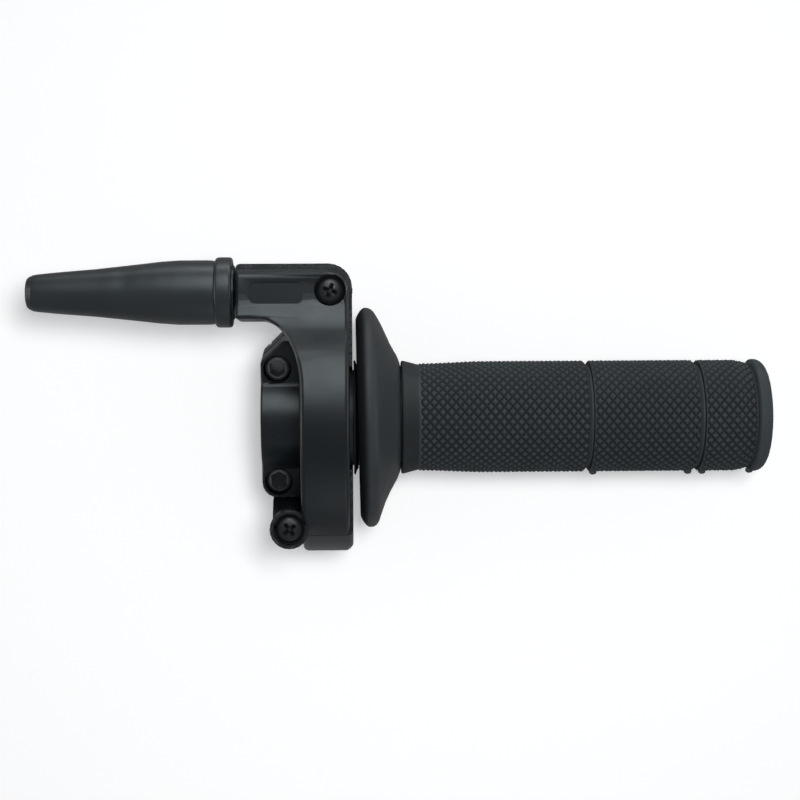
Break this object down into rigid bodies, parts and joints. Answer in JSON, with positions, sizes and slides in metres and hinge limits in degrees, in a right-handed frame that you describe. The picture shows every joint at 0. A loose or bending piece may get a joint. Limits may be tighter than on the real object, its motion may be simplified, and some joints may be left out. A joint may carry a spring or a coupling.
{
  "type": "motorcycle throttle grip",
  "caption": "Quick-action twist throttle with rubber grip, mud flange, drum housing, handlebar clamp, side cable arm and rubber cable boot",
  "frame": {"origin": "middle of the handlebar clamp, on the handlebar's axis", "axes": "+X outboard along the handlebar, +Y towards the cable arm, +Z towards the side that carries the cover and the screw heads"},
  "size_m": [0.2101, 0.0826, 0.076],
  "materials": {
    "painted_alloy": "satin black paint on cast alloy",
    "rubber": "matte black moulded rubber",
    "black_steel": "black oxide",
    "plated_steel": "zinc plated",
    "brass": "turned",
    "moulded_nylon": "moulded black nylon",
    "acetal": "natural white"
  },
  "bodies": {
    "housing": {"housing_base": "painted_alloy", "housing_cover": "painted_alloy", "clamp_cap": "painted_alloy", "clamp_screw_upper": "black_steel", "clamp_screw_lower": "black_steel", "clamp_nut_upper": "plated_steel", "clamp_nut_lower": "plated_steel", "cover_screw_upper": "black_steel", "cover_screw_lower": "black_steel", "cover_insert_upper": "brass", "cover_insert_lower": "brass", "roller_pin": "plated_steel", "cable_inlet": "plated_steel", "adjuster_lock_nut": "plated_steel", "cable_boot": "rubber", "dust_seal": "rubber", "thrust_washer": "acetal"},
    "throttle": {"throttle_tube": "moulded_nylon", "mud_flange": "rubber", "grip": "rubber"},
    "roller": {"cable_roller": "acetal"},
    "adjuster": {"adjuster_barrel": "plated_steel"}
  },
  "joints": [
    {"name": "throttle_turn", "type": "hinge", "parent": "housing", "child": "throttle", "pos_m": [0, 0, 0], "axis": [1, 0, 0], "range_deg": [0, 75]},
    {"name": "roller_turn", "type": "hinge", "parent": "housing", "child": "roller", "pos_m": [0.00735, 0.03015, 0.0185], "axis": [0, 0, 1], "range_deg": [-385, 0]},
    {"name": "adjuster_slide", "type": "slide", "parent": "housing", "child": "adjuster", "axis": [-1, 0, 0], "range_m": [0, 0.006]}
  ],
  "couplings": [
    {"joint": "roller_turn", "follows": "throttle_turn", "ratio": -5.1}
  ]
}
